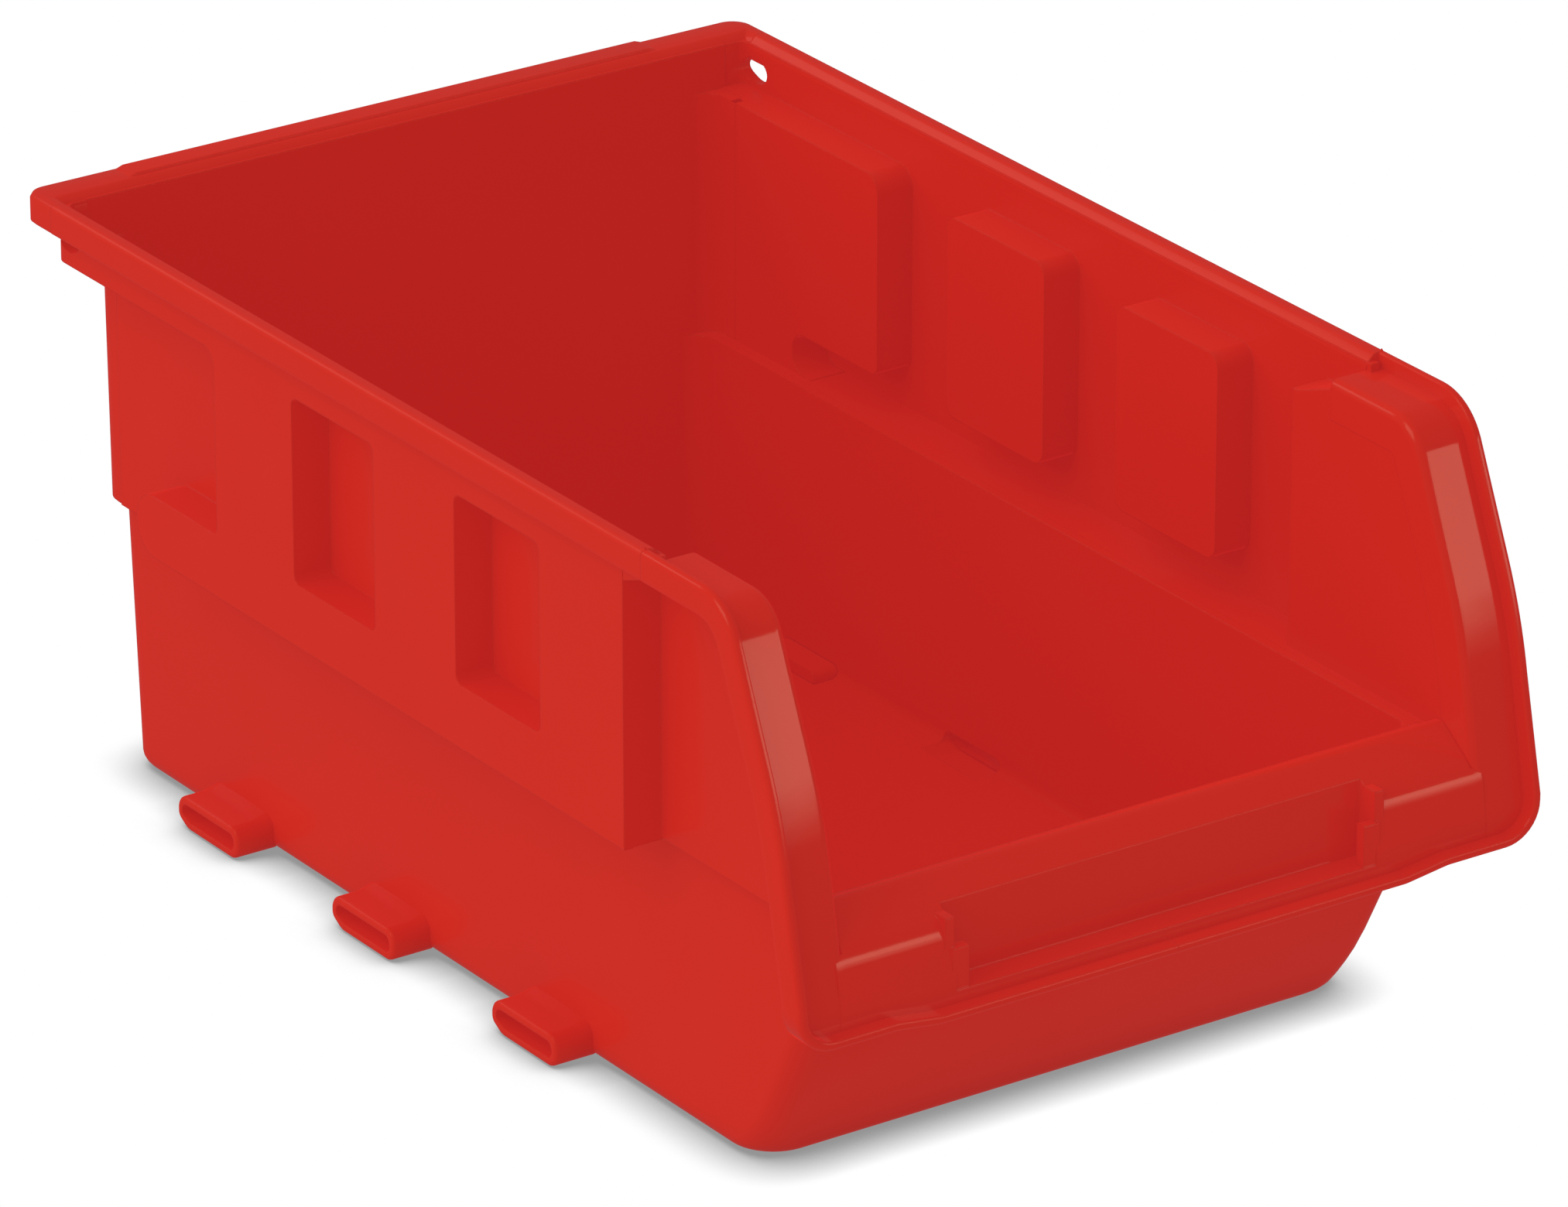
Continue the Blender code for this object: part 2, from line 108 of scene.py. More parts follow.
# %% Shared shape sizes
WALL = 1.3                 # wall thickness
CORNER = 4.0               # outer radius of the upright corners
DRAFT = math.radians(1.3)  # lean of every wall
INNER_FACE = OUTER_FACE - 5.2
HEAD_INNER = INNER_FACE + 0.4
HEAD_LENGTH = 12.0         # the head reaches this far forward from the base's rear
WALL_TOP = TOP - 0.9       # the walls end inside the rim, under its top
SHELF_TOP = TOP - 3.1      # shelf between cheek and rim, where it meets the flange
SHELF_LOW = TOP - 5.4      # the same shelf where it has sloped down to the band
RECESS_BOTTOM = LEDGE + 8.1
RECESS_TOP = RECESS_BOTTOM + 23.9
TONGUE_REAR = 60.5         # end of the band's low tongue under the recess
LIP_RAISE = 1.9            # lip in front of the flange
LIP_WIDTH = 1.2
LIP_DEPTH = 3.8
FAR = 20.0                 # how far a cutting tool reaches past what it cuts
SKIN = 0.02                # keeps two overlapping skins apart
ARC_STEPS = 10
print("wall and lean:", WALL, "mm,", round(math.degrees(DRAFT), 2), "degrees")

# %% [markdown]
# Nearly every region is a flat outline that is given depth or swept along a path. A curve object with a bevel
# could do this too, but plain lists of points can be moved, mirrored and measured before they become a mesh.
# Round corners are arcs of real points, so the silhouette stays round in a close view.

# %% Outlines
def corner_points(before, corner, after, radius):
    """Points of the arc that rounds one corner of an outline."""
    into = (Vector(before) - Vector(corner)).normalized()
    out = (Vector(after) - Vector(corner)).normalized()
    half = into.angle(out) / 2
    centre = Vector(corner) + (into + out).normalized() * (radius / math.sin(half))
    start = Vector(corner) + into * (radius / math.tan(half)) - centre
    sweep = start.angle_signed(Vector(corner) + out * (radius / math.tan(half)) - centre)
    turns = [sweep * k / ARC_STEPS for k in range(ARC_STEPS + 1)]
    return [centre + Matrix.Rotation(-turn, 2) @ start for turn in turns]


def rounded(corners, closed=True):
    """Outline through (u, v) or (u, v, radius) corners, with round stretches as arcs."""
    points = []
    count = len(corners)
    for i, corner in enumerate(corners):
        radius = corner[2] if len(corner) > 2 else 0.0
        if radius and (closed or 0 < i < count - 1):
            points += corner_points(corners[i - 1][:2], corner[:2], corners[(i + 1) % count][:2], radius)
        else:
            points.append(Vector(corner[:2]))
    return points


def path_normals(points):
    """Unit vectors square to an open path, pointing to the right of its run."""
    normals = []
    for i in range(len(points)):
        run = (points[min(i + 1, len(points) - 1)] - points[max(i - 1, 0)]).normalized()
        normals.append(Vector((run.y, -run.x)))
    return normals


def offset_path(points, distance):
    """The same open path, moved to its left."""
    return [p - n * distance for p, n in zip(points, path_normals(points))]


def ribbon(points, thickness):
    """Closed outline of a strip that lies to the left of an open path."""
    return list(points) + list(reversed(offset_path(points, thickness)))


print("rounded unit square:", len(rounded([(0, 0, 0.2), (1, 0, 0.2), (1, 1, 0.2), (0, 1, 0.2)])), "points")

# %% [markdown]
# Seen from the side, the bin's front is one long line: the level rim, a round shoulder, a slightly bowed fall
# and the upright lower edge. Flanges, lip, cheeks and label panel all follow it, so it is written once.

# %% Side view of the lip
SHOULDER = (-68.0, TOP, 8.0)
BOW = (-78.6, 52.0, 60.0)
KNEE = (FRONT, 29.0, 8.0)


def lip_profile():
    """Side view of the lip: level rim, shoulder and the long falling front edge."""
    return rounded([(BOW_START, TOP), SHOULDER, BOW, KNEE, (FRONT, LIP_BOTTOM)], closed=False)


print("lip profile:", len(lip_profile()), "points")

# %% [markdown]
# Outlines become solids here. Rows of points are skinned with four-sided faces, like slices of a loaf. An
# extrude modifier would give a plate as well, but rows can also change from slice to slice, which the tub's
# round foot and the swept lip need.

# %% Solids
AXES = {
    "x": Matrix(((0, 0, 1), (1, 0, 0), (0, 1, 0))),
    "y": Matrix(((1, 0, 0), (0, 0, 1), (0, 1, 0))),
    "z": Matrix.Identity(3),
}


def make_object(name, mesh):
    obj = bpy.data.objects.new(name, mesh)
    bpy.context.scene.collection.objects.link(obj)
    return obj


def fill_mesh(mesh, rows, closed_rows=True, capped=True):
    """Skin over rows of points: neighbours in a row and in the next row are joined."""
    shape = bmesh.new()
    grid = [[shape.verts.new(Vector(p) * MM) for p in row] for row in rows]
    count = len(grid[0])
    for upper, lower in zip(grid, grid[1:]):
        for k in range(count if closed_rows else count - 1):
            ahead = (k + 1) % count
            shape.faces.new((upper[k], upper[ahead], lower[ahead], lower[k]))
    if capped:
        shape.faces.new(grid[0])
        shape.faces.new(list(reversed(grid[-1])))
    bmesh.ops.recalc_face_normals(shape, faces=shape.faces)
    shape.to_mesh(mesh)
    shape.free()


def skin(name, rows, closed_rows=True, capped=True):
    mesh = bpy.data.meshes.new(name)
    fill_mesh(mesh, rows, closed_rows, capped)
    return make_object(name, mesh)


def plate(name, outline, axis, low, high):
    """Flat outline given thickness from low to high along an axis."""
    turn = AXES[axis]
    rows = [[turn @ Vector((p[0], p[1], level)) for p in outline] for level in (low, high)]
    return skin(name, rows)


def block(name, x_range, y_range, z_range):
    """Plain box between two limits along each axis."""
    outline = [(x_range[0], y_range[0]), (x_range[1], y_range[0]),
               (x_range[1], y_range[1]), (x_range[0], y_range[1])]
    return plate(name, outline, "z", *z_range)


print("plates can be given depth along", ", ".join(AXES))

# %% [markdown]
# Pockets, openings and joined walls come from exact Booleans. Each one is applied at once and its tool is
# deleted, so that the scene keeps only finished pieces. The left of the bin is a mirror image of the right: a
# mirror modifier would weld both into one piece, and here each side stays a piece of its own.

# %% Joining, cutting and mirroring
def combine(obj, tool, operation):
    """Exact Boolean, applied at once so that the tool can go."""
    modifier = obj.modifiers.new("combine", "BOOLEAN")
    modifier.operation = operation
    modifier.solver = "EXACT"
    modifier.object = tool
    bpy.context.view_layer.update()
    graph = bpy.context.evaluated_depsgraph_get()
    mesh = bpy.data.meshes.new_from_object(obj.evaluated_get(graph))
    obj.modifiers.clear()
    obj.data = mesh
    bpy.data.objects.remove(tool, do_unlink=True)
    return obj


def add(obj, tool):
    return combine(obj, tool, "UNION")


def cut(obj, tool):
    return combine(obj, tool, "DIFFERENCE")


def mirror_copy(obj, name):
    """Image of a right-hand piece on the left, with its faces turned outward again."""
    mesh = obj.data.copy()
    mesh.transform(Matrix.Scale(-1, 4, (1, 0, 0)))
    mesh.flip_normals()
    return make_object(name, mesh)


print("mirror plane: x = 0, half width", HALF_WIDTH, "mm")

# %% [markdown]
# The plastic is one red with slow colour drift, faint flow marks and fine grain. The effects sit in a node
# group that every finish shares. They could be painted, but noise in object coordinates needs no unwrapping
# and runs on over the lines between pieces.

# %% Moulded surface
RED = (0.345, 0.0115, 0.002)
PAINTED_GLOW = (0.27, 0.0125, 0.0125)  # painted glow: an even emission standing in for light passed through the thin walls and fill light in the shade
DRIFT_SCALE = 22.0
SCUFF_SCALE = 90.0
WAVE_SCALE = 60.0
GRAIN_SCALE = 900.0


def value_noise(nodes, links, coords, scale, detail=3.0):
    noise = nodes.new("ShaderNodeTexNoise")
    noise.inputs["Scale"].default_value = scale
    noise.inputs["Detail"].default_value = detail
    links.new(coords, noise.inputs["Vector"])
    return noise.outputs["Fac"]


def remap(nodes, links, source, low, high, from_low=0.3, from_high=0.7):
    ramp = nodes.new("ShaderNodeMapRange")
    ramp.inputs["From Min"].default_value = from_low
    ramp.inputs["From Max"].default_value = from_high
    ramp.inputs["To Min"].default_value = low
    ramp.inputs["To Max"].default_value = high
    links.new(source, ramp.inputs["Value"])
    return ramp.outputs["Result"]


def moulded_surface_group():
    """Colour drift, uneven roughness, slow waves and fine grain, shared by all three finishes."""
    group = bpy.data.node_groups.new("moulded_surface", "ShaderNodeTree")
    for name, kind in (("Dark Colour", "Color"), ("Light Colour", "Color"), ("Smooth Roughness", "Float"),
                       ("Scuffed Roughness", "Float")):
        group.interface.new_socket(name, in_out="INPUT", socket_type="NodeSocket" + kind)
    for name, kind in (("Colour", "Color"), ("Roughness", "Float"), ("Waves", "Float"), ("Grain", "Float")):
        group.interface.new_socket(name, in_out="OUTPUT", socket_type="NodeSocket" + kind)
    nodes = group.nodes
    links = group.links
    given = nodes.new("NodeGroupInput").outputs
    result = nodes.new("NodeGroupOutput").inputs
    coords = nodes.new("ShaderNodeTexCoord").outputs["Object"]
    drift = nodes.new("ShaderNodeMix")
    drift.data_type = "RGBA"
    links.new(value_noise(nodes, links, coords, DRIFT_SCALE), drift.inputs["Factor"])
    links.new(given["Dark Colour"], drift.inputs["A"])
    links.new(given["Light Colour"], drift.inputs["B"])
    links.new(drift.outputs["Result"], result["Colour"])
    scuffs = nodes.new("ShaderNodeMix")
    scuff_noise = value_noise(nodes, links, coords, SCUFF_SCALE)
    links.new(remap(nodes, links, scuff_noise, 0.0, 1.0, 0.25, 0.75), scuffs.inputs["Factor"])
    links.new(given["Smooth Roughness"], scuffs.inputs["A"])
    links.new(given["Scuffed Roughness"], scuffs.inputs["B"])
    links.new(scuffs.outputs["Result"], result["Roughness"])
    links.new(value_noise(nodes, links, coords, WAVE_SCALE, 1.0), result["Waves"])
    links.new(value_noise(nodes, links, coords, GRAIN_SCALE, 1.0), result["Grain"])
    return group


SURFACE = moulded_surface_group()
print("sockets of the shared surface:", len(SURFACE.interface.items_tree))

# %% [markdown]
# Three finishes differ in gloss and in how soft the edges look: the scuffed body, the rim, and the polished
# flanges and panel. The Bevel node rounds every sharp edge in the light only. Real bevels on Boolean
# results tend to break, and a moulding's edge radius of a third of a millimetre is too small to need them.

# %% Plastic finishes
DRIFT = 0.04        # share by which the red gets darker and lighter
WAVE_DEPTH = 0.2
GRAIN_DEPTH = 0.03
PLASTIC_IOR = 1.49


def bump_over(nodes, links, height, below, strength, depth):
    bump = nodes.new("ShaderNodeBump")
    bump.inputs["Strength"].default_value = strength
    bump.inputs["Distance"].default_value = depth * MM
    links.new(height, bump.inputs["Height"])
    links.new(below, bump.inputs["Normal"])
    return bump.outputs["Normal"]


def plastic(name, roughness, grain, rounding, gloss, tint):
    """One finish of the red plastic; rounding is the radius of its softened edges."""
    material = bpy.data.materials.new(name)
    material.use_nodes = True
    nodes = material.node_tree.nodes
    links = material.node_tree.links
    shader = nodes["Principled BSDF"]
    surface = nodes.new("ShaderNodeGroup")
    surface.node_tree = SURFACE
    surface.inputs["Dark Colour"].default_value = (*[c * (1 - DRIFT) for c in RED], 1.0)
    surface.inputs["Light Colour"].default_value = (*[c * (1 + DRIFT) for c in RED], 1.0)
    surface.inputs["Smooth Roughness"].default_value = roughness * 0.85
    surface.inputs["Scuffed Roughness"].default_value = roughness * 1.25
    links.new(surface.outputs["Colour"], shader.inputs["Base Color"])
    links.new(surface.outputs["Roughness"], shader.inputs["Roughness"])

    rounded_edge = nodes.new("ShaderNodeBevel")
    rounded_edge.samples = 6
    rounded_edge.inputs["Radius"].default_value = rounding * MM
    edges = rounded_edge.outputs["Normal"]
    normal = bump_over(nodes, links, surface.outputs["Waves"], edges, 0.1, WAVE_DEPTH)
    normal = bump_over(nodes, links, surface.outputs["Grain"], normal, grain, GRAIN_DEPTH)
    links.new(normal, shader.inputs["Normal"])

    shader.inputs["Specular IOR Level"].default_value = gloss
    shader.inputs["Specular Tint"].default_value = (*tint, 1.0)
    # Painted glow: every red surface emits an even light of its own, which lifts its shaded parts.
    shader.inputs["Emission Color"].default_value = (*PAINTED_GLOW, 1.0)
    shader.inputs["Emission Strength"].default_value = 1.0
    shader.inputs["IOR"].default_value = PLASTIC_IOR
    return material


BODY = plastic("red_plastic_body", roughness=0.2, grain=0.1, rounding=0.35, gloss=0.3, tint=(1.0, 0.35, 0.2))
RIM = plastic("red_plastic_rim", roughness=0.2, grain=0.1, rounding=0.4, gloss=0.3, tint=(1.0, 0.5, 0.3))
POLISHED = plastic("red_plastic_front", roughness=0.1, grain=0.05, rounding=0.35, gloss=0.36,
                   tint=(1.0, 0.85, 0.6))
for finish in (BODY, RIM, POLISHED):
    print(finish.name, len(finish.node_tree.nodes), "nodes")

# %% [markdown]
# A finished piece needs its material, smooth shading with kept creases, and the frame nodes that it stands for
# hidden. The same few lines serve every piece, so that none can be forgotten.

# %% Placing a piece
CREASE = math.radians(32)  # edges sharper than this stay sharp


def place(obj, material, *nodes):
    """Finishes a piece: material, smooth faces, its frame nodes and the body it rides on."""
    obj.data.materials.clear()
    obj.data.materials.append(material)
    obj.data.shade_smooth()
    obj.data.set_sharp_from_angle(angle=CREASE)
    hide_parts(*nodes)
    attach(obj, "root")
    print(obj.name, len(obj.data.polygons), "faces")


def place_pair(right, stem, material, *stems):
    """A piece and its mirror image on the left."""
    left = mirror_copy(right, stem + "_left")
    place(right, material, *[s + "_right" for s in stems])
    place(left, material, *[s + "_left" for s in stems])


# %% [markdown]
# The tub is the floor with its rounded foot and four leaning walls. The front wall slants forward and stops
# behind the label panel. It could be a box with a shell modifier, but stacked rings of points give the lean,
# the slant and corners that grow rounder toward the floor all at once.

# %% Tub outline
LEDGE_TOP = LEDGE + WALL
UPPER_REAR = BASE_REAR + math.tan(DRAFT) * (LEDGE - FLOOR_TOP)
FRONT_SLOPE = 0.504        # fall of the lower front wall per unit of height
FRONT_CORNER = 2.8         # radius of the upright front corners, well above the floor
FOOT_CORNER = 3.6          # by how much more they are rounded at the floor
FOOT_CORNER_HEIGHT = 9.0


def tub_ring(height, inset, radius):
    """Plan outline of the tub at a height, moved inward by an inset."""
    low_share = max(0.0, 1.0 - height / FOOT_CORNER_HEIGHT)
    front_radius = FRONT_CORNER + FOOT_CORNER * low_share ** 2 - 0.6 * min(inset, WALL)
    rise = max(height - FLOOR_TOP, 0.0)
    half = BASE_HALF_WIDTH + math.tan(DRAFT) * rise - inset
    rear = BASE_REAR + math.tan(DRAFT) * rise - inset
    slant = FRONT_SLOPE * min(rise, LIP_BOTTOM - FLOOR_TOP)
    front = BASE_FRONT - slant + inset * math.hypot(1.0, FRONT_SLOPE)
    outline = rounded([(-half, front, front_radius), (half, front, front_radius), (half, rear, radius),
                       (-half, rear, radius)])
    return [(p.x, p.y, height) for p in outline]


print("tub outline at the floor:", len(tub_ring(0.0, 0.0, CORNER)), "points")

# %% [markdown]
# Each side has three lug openings low in the wall. A lug is a flat, round-ended tube whose lower rear corner
# is cut off at a slant. Its end view is needed twice: smaller for the opening in the wall, larger for the lug
# itself.

# %% Lug outline
LUG_HALF = (reach("lug_1_right", HIGH, Y) - reach("lug_1_right", LOW, Y)) / 2
LUG_MIDDLE = (reach("lug_1_right", HIGH, Z) + reach("lug_1_right", LOW, Z)) / 2
LUG_RISE = (reach("lug_1_right", HIGH, Z) - reach("lug_1_right", LOW, Z)) / 2
LUG_OUTER = reach("lug_1_right", HIGH, X)
LUG_SHELL = 1.0
LUG_NUMBERS = (1, 2, 3)


def lug_centre(number):
    low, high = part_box("lug_%d_right" % number)
    return (low.y + high.y) / 2 / MM


def lug_outline(centre, shrink, rise=0.0):
    """End view of a lug: a flat slot shape whose lower rear corner is cut off at a slant."""
    radius = 1.8 - shrink * 0.8
    low = LUG_MIDDLE - LUG_RISE + shrink
    high = LUG_MIDDLE + LUG_RISE - shrink + rise
    front = centre - LUG_HALF + shrink
    rear = centre + LUG_HALF - shrink
    slant = 1.3 - 0.65 * shrink
    return rounded([(front, low, radius), (rear - 2.0, low, 2.5), (rear, low + slant, 1.2 - 0.6 * shrink),
                    (rear, high, radius), (front, high, radius)])


print("lug places:", [round(lug_centre(number), 1) for number in LUG_NUMBERS])

# %% [markdown]
# Above the tub the bin gets wider in one step, the ledge, that carries the upper side walls. Behind it the
# rear wall turns both corners, and just under the rim it runs on to the wide heads of the side walls. Flat
# plates that run a little way into their neighbours leave no open line after they are joined.

# %% Ledge and rear wall
def ledge(side):
    """Step that carries the upper side wall: wide behind the band, narrow before and behind it."""
    root = BASE_HALF_WIDTH + math.tan(DRAFT) * (LEDGE - FLOOR_TOP) - WALL / 2
    lap = 0.3
    narrow = INNER_FACE - lap
    wide = OUTER_FACE - 0.5
    front = PANEL_REAR - 2.0
    band = BAND_FRONT + 0.4
    wide_end = TONGUE_REAR - 5.0
    end = root - CORNER
    outline = rounded([(root, front), (narrow, front), (narrow, band), (wide, band), (wide, wide_end),
                       (narrow, wide_end), (narrow, UPPER_REAR - lap, CORNER - lap), (end, UPPER_REAR - lap),
                       (end, UPPER_REAR - WALL / 2), (root, UPPER_REAR - WALL / 2, CORNER - WALL / 2)])
    return plate("ledge", [(side * p.x, p.y) for p in outline], "z", LEDGE + SKIN, LEDGE_TOP - SKIN)


def corner_floor(side):
    """Fills the small corner between the round upright corner and the square head above it."""
    rear = UPPER_REAR + math.tan(DRAFT) * (RECESS_TOP - LEDGE)
    inner = INNER_FACE - WALL / 2
    outer = HEAD_INNER + 0.8
    start = BASE_REAR - HEAD_LENGTH - 0.5
    low = RECESS_TOP + 0.1
    high = RECESS_TOP + WALL - 0.05
    outline = rounded([(inner, start), (inner, rear - WALL / 2, CORNER - WALL / 2),
                       (inner - CORNER, rear - WALL / 2), (inner - CORNER, rear - 0.1), (outer, rear - 0.1),
                       (outer, start)])
    return plate("corner_floor", [(side * p.x, p.y) for p in outline], "z", low, high)


def rear_wall():
    """Wall above the ledge that turns both upright corners, with a full-width run under the rim."""
    half = INNER_FACE - SKIN
    edge = UPPER_REAR
    back = edge - CORNER - 2.0
    path = rounded([(half, back), (half, edge, CORNER), (-half, edge, CORNER), (-half, back)], closed=False)
    outline = ribbon(path, WALL)
    rows = []
    for height in (LEDGE + 0.3, RECESS_TOP + WALL):
        grow = math.tan(DRAFT) * (height - LEDGE)
        rows.append([(p.x, p.y + grow * (p.y > back + 1.0), height) for p in outline])
    obj = skin("rear_wall", rows)
    rows = []
    for height in (RECESS_TOP + 0.2, TOP - 0.8):
        rear = edge + math.tan(DRAFT) * (height - LEDGE)
        reach_out = HEAD_INNER + 0.6
        rows.append([(-reach_out, rear, height), (reach_out, rear, height), (reach_out, rear - WALL, height),
                     (-reach_out, rear - WALL, height)])
    add(obj, skin("full_width", rows))
    add(obj, corner_floor(1))
    return add(obj, corner_floor(-1))


print("ledge is at", round(LEDGE, 1), "mm, upper walls end", round(TOP, 1), "mm up")

# %% [markdown]
# All parts of the lower bin come together here. Seen from outside, the real moulding has no seam between
# floor, walls and ledge, so they are joined into one piece that stands for six frame nodes.

# %% Tub
FOOT_RADIUS = 2.2          # rounded outer edge of the floor
FLOOR_RADIUS = 1.2         # hollow between floor and walls, inside
RING_HEIGHTS = (4.0, 6.0)  # extra rings where the foot corners change fastest


def lower_tub():
    """Floor, foot and lower walls as a shell, with rear wall, ledges and lug openings."""
    turns = [math.radians(90 * k / 6) for k in range(7)]
    outer = []
    for t in turns:
        outer.append(tub_ring(FOOT_RADIUS * (1 - math.cos(t)), FOOT_RADIUS * (1 - math.sin(t)), CORNER))
    outer += [tub_ring(h, 0.0, CORNER) for h in (*RING_HEIGHTS, FOOT_CORNER_HEIGHT, LIP_BOTTOM, LEDGE_TOP)]
    inner_heights = (LEDGE_TOP, LIP_BOTTOM, FOOT_CORNER_HEIGHT, RING_HEIGHTS[1], FLOOR_TOP + FLOOR_RADIUS)
    inner = [tub_ring(h, WALL, CORNER - WALL) for h in inner_heights]
    for t in turns[1:]:
        height = FLOOR_TOP + FLOOR_RADIUS * (1 - math.sin(t))
        inset = WALL + FLOOR_RADIUS * (1 - math.cos(t))
        inner.append(tub_ring(height, inset, CORNER - WALL))
    obj = skin("tub", outer + inner)
    add(obj, rear_wall())
    for side in (-1, 1):
        add(obj, ledge(side))
    for number in LUG_NUMBERS:
        slot_hole = lug_outline(lug_centre(number), LUG_SHELL)
        for side in (-1, 1):
            ends = sorted((side * (BASE_HALF_WIDTH - 5), side * (BASE_HALF_WIDTH + 5)))
            cut(obj, plate("slot", slot_hole, "x", *ends))
    return obj


place(lower_tub(), BODY, "floor_pan", "wall_lower_front", "wall_lower_rear", "wall_lower_left",
      "wall_lower_right", "wall_upper_rear")

# %% [markdown]
# The lugs are hollow and grow a little toward the wall they stand on. In use they slide over the lugs of the
# next bin. A cylinder could be squashed into this shape, but the slanted corner asks for its own outline.
# That outline is swept outward, closed at the end and taken back in as the bore.

# %% Side lugs
def lug(number):
    """Each station is (place along x, inset of the outline, extra rise of its top)."""
    centre = lug_centre(number)
    start = BASE_HALF_WIDTH - 0.6
    edge = 0.5
    stations = [(start, 0.0, 0.8), (start + 1.6, 0.0, 0.25), (start + 2.6, 0.0, 0.0)]
    stations.append((LUG_OUTER - edge, 0.0, 0.0))
    stations += [(LUG_OUTER - edge * (1 - math.sin(t)), edge * (1 - math.cos(t)), 0.0)
                 for t in (0.5, 1.0, math.pi / 2)]
    rows = [[(x, p.x, p.y) for p in lug_outline(centre, inset, rise)] for x, inset, rise in stations]
    rows += [[(x, p.x, p.y) for p in lug_outline(centre, LUG_SHELL, 0.0)] for x in (LUG_OUTER - 0.1, start)]
    rows.append(rows[0])
    return skin("lug_%d_visual_right" % number, rows, capped=False)


for lug_number in LUG_NUMBERS:
    place_pair(lug(lug_number), "lug_%d_visual" % lug_number, BODY, "lug_%d" % lug_number)

# %% [markdown]
# The upper side wall is a raised band with two grip pockets. At its rear is a recess, with a tongue of the
# band below it. All of these are flat shapes seen from the side. They could be modelled straight into the
# wall's mesh, but as outlines they can serve twice: for the cut and for the wall behind it.

# %% Outlines of the side wall
RECESS_FRONT = 42.0
POCKET_LENGTH = 17.8
POCKET_REAR_EDGES = (24.7, -10.4)
TONGUE_RADIUS = 3.8
RECESS_LOW_RADIUS = 1.0
RECESS_HIGH_RADIUS = 2.2


def recess_outline():
    """Cutting shape of the rear recess; it runs on past the tongue, down and to the rear."""
    below = TONGUE_REAR - 6
    return rounded([(RECESS_FRONT, RECESS_BOTTOM, RECESS_LOW_RADIUS),
                    (TONGUE_REAR, RECESS_BOTTOM, TONGUE_RADIUS), (TONGUE_REAR, LEDGE, TONGUE_RADIUS),
                    (below, LEDGE), (below, LEDGE - FAR), (REAR + FAR, LEDGE - FAR), (REAR + FAR, RECESS_TOP),
                    (RECESS_FRONT, RECESS_TOP, RECESS_HIGH_RADIUS)])


def band_outline(top):
    """The raised band with its tongue, and the stretch above the recess."""
    join = BASE_REAR - 4.5
    return rounded([(BAND_FRONT, LEDGE), (TONGUE_REAR, LEDGE, TONGUE_RADIUS),
                    (TONGUE_REAR, RECESS_BOTTOM, TONGUE_RADIUS),
                    (RECESS_FRONT, RECESS_BOTTOM, RECESS_LOW_RADIUS),
                    (RECESS_FRONT, RECESS_TOP, RECESS_HIGH_RADIUS), (join, RECESS_TOP), (join, top),
                    (BAND_FRONT, top)])


def recess_back():
    """Wall behind the recess, one wall thickness larger all round than the recess itself."""
    front = RECESS_FRONT - WALL
    behind = TONGUE_REAR - WALL
    low = RECESS_BOTTOM - WALL
    rear = UPPER_REAR - CORNER - 1.0
    step = LEDGE + 1.4
    foot = LEDGE + 0.1
    outline = rounded([(front, low, 1.2), (behind, low, 2.4), (behind, step, 2.4), (behind - 4, step),
                       (behind - 4, foot), (rear, foot), (rear, RECESS_TOP + WALL),
                       (front, RECESS_TOP + WALL, 2.6)])
    return plate("recess_back", outline, "x", INNER_FACE - WALL, OUTER_FACE - WALL + 0.2)


def pocket_outline(rear_edge, grow):
    """Rounded rectangle of a grip pocket, made larger all round by a margin."""
    front_edge = rear_edge - POCKET_LENGTH
    radius = 1.2 + 0.6 * grow
    front, rear = front_edge - grow, rear_edge + grow
    low, high = RECESS_BOTTOM - grow, RECESS_TOP + grow
    return rounded([(front, low, radius), (rear, low, radius), (rear, high, radius), (front, high, radius)])


print("recess and pockets are", round(RECESS_TOP - RECESS_BOTTOM, 1), "mm high")

# %% [markdown]
# Above the recess the wall stands out again as a wide head that turns the rear corner, with a small hole for
# hanging the bin. In front, the cheek runs forward to the flange, and a sloped shelf closes it under the rim.
# Each is a plate of its own before it joins the band.

# %% Head, hang hole and cheek
HOLE_PLACE = (74.9, 72.0)
HOLE_RADIUS = 1.7
HOLE_STRETCH = 1.5         # the hole is longer than it is high
SHELF = 0.9                # thickness of the shelf


def wall_head(top):
    """Wide head above the recess; it turns the corner under the rear rim."""
    inner = HEAD_INNER
    start = BASE_REAR - HEAD_LENGTH
    outline = rounded([(inner, start), (OUTER_FACE, start), (OUTER_FACE, HEAD_REAR, 2.6), (inner, HEAD_REAR)])
    obj = plate("head", outline, "z", RECESS_TOP, top)
    hollow = rounded([(inner - FAR, start - FAR), (OUTER_FACE - WALL, start - FAR),
                      (OUTER_FACE - WALL, HEAD_REAR - WALL, 1.3), (inner - FAR, HEAD_REAR - WALL)])
    return cut(obj, plate("hollow", hollow, "z", RECESS_TOP + WALL, TOP + FAR))


def hang_hole():
    """Cutting rod for the hole near the rear top corner."""
    turns = [2 * math.pi * k / 32 for k in range(32)]
    round_hole = [HOLE_RADIUS * Vector((HOLE_STRETCH * math.cos(t), math.sin(t))) for t in turns]
    circle = [Vector(HOLE_PLACE) + p for p in round_hole]
    return plate("hole", circle, "x", INNER_FACE + 2.0, HALF_WIDTH + FAR)


